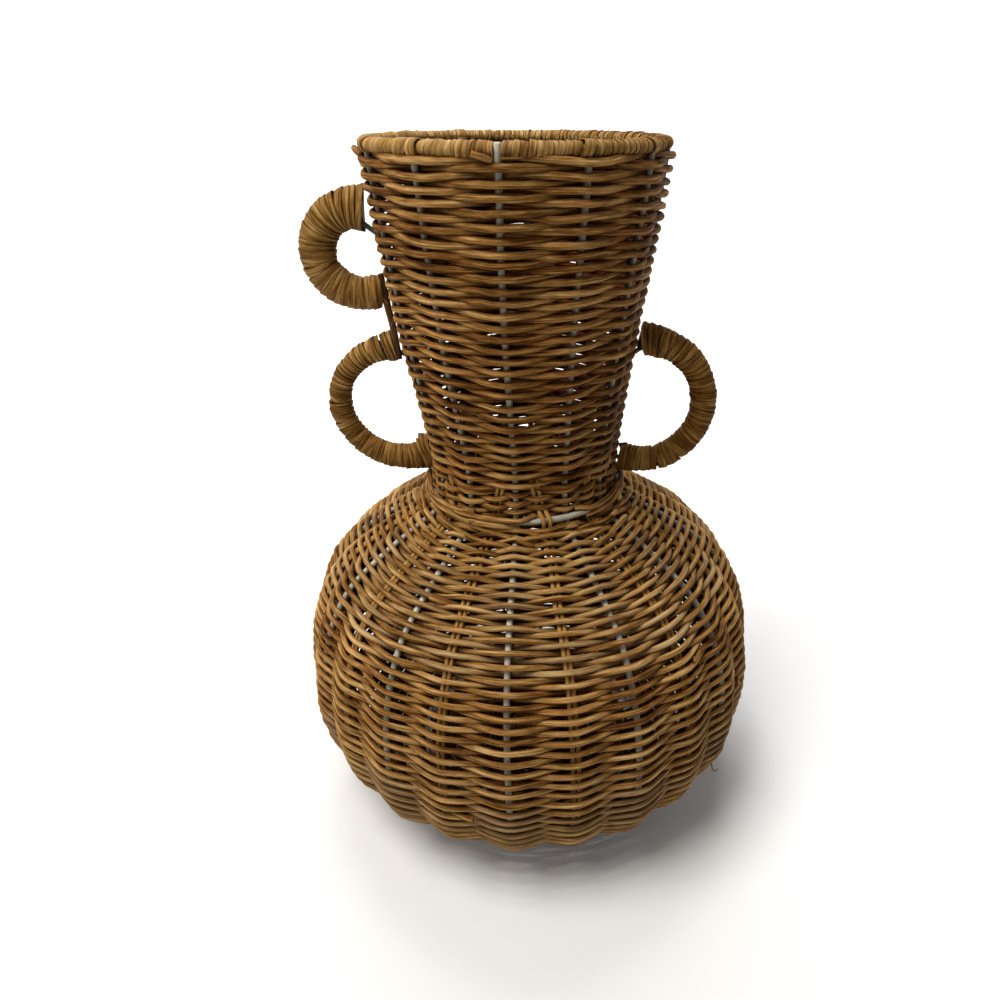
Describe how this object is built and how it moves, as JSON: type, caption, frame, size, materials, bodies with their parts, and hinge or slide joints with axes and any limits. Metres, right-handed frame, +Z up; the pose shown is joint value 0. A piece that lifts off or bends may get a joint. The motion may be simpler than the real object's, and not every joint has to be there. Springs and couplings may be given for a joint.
{
  "type": "rattan vase",
  "caption": "Woven rattan vase with a flared neck, round belly, wrapped rim and wrapped loop handles on a wire frame; holds dry stems and flowers.",
  "frame": {"origin": "centre of the base, on the surface the vase stands on", "axes": "+Z up along the vase's axis; -Y is the front seen in the picture; +X is the side with one handle"},
  "size_m": [0.252, 0.252, 0.352],
  "materials": {
    "weave": "natural round rattan core, satin, unvarnished",
    "stake": "thin round rattan core, satin",
    "peel": "flat rattan peel, smooth natural skin",
    "wire": "pale grey coated steel wire, dull"
  },
  "bodies": {
    "root": {"wire_rib_01": "wire", "wire_rib_02": "wire", "wire_rib_03": "wire", "wire_rib_04": "wire", "wire_rib_05": "wire", "wire_rib_06": "wire", "wire_rib_07": "wire", "wire_rib_08": "wire", "wire_rib_09": "wire", "wire_rib_10": "wire", "wire_rib_11": "wire", "wire_rib_12": "wire", "rim_ring": "wire", "shoulder_ring": "wire", "base_ring": "wire", "rattan_stake_01a": "stake", "rattan_stake_01b": "stake", "rattan_stake_02a": "stake", "rattan_stake_02b": "stake", "rattan_stake_03a": "stake", "rattan_stake_03b": "stake", "rattan_stake_04a": "stake", "rattan_stake_04b": "stake", "rattan_stake_05a": "stake", "rattan_stake_05b": "stake", "rattan_stake_06a": "stake", "rattan_stake_06b": "stake", "rattan_stake_07a": "stake", "rattan_stake_07b": "stake", "rattan_stake_08a": "stake", "rattan_stake_08b": "stake", "rattan_stake_09a": "stake", "rattan_stake_09b": "stake", "rattan_stake_10a": "stake", "rattan_stake_10b": "stake", "rattan_stake_11a": "stake", "rattan_stake_11b": "stake", "rattan_stake_12a": "stake", "rattan_stake_12b": "stake", "left_upper_handle_core": "wire", "left_upper_handle_wrap": "peel", "left_lower_handle_core": "wire", "left_lower_handle_wrap": "peel", "right_handle_core": "wire", "right_handle_wrap": "peel", "left_handle_strut": "wire", "neck_weave": "weave", "shoulder_weave": "weave", "belly_weave": "weave", "foot_weave": "weave", "base_weave": "weave", "rim_wrap": "peel"}
  },
  "joints": []
}
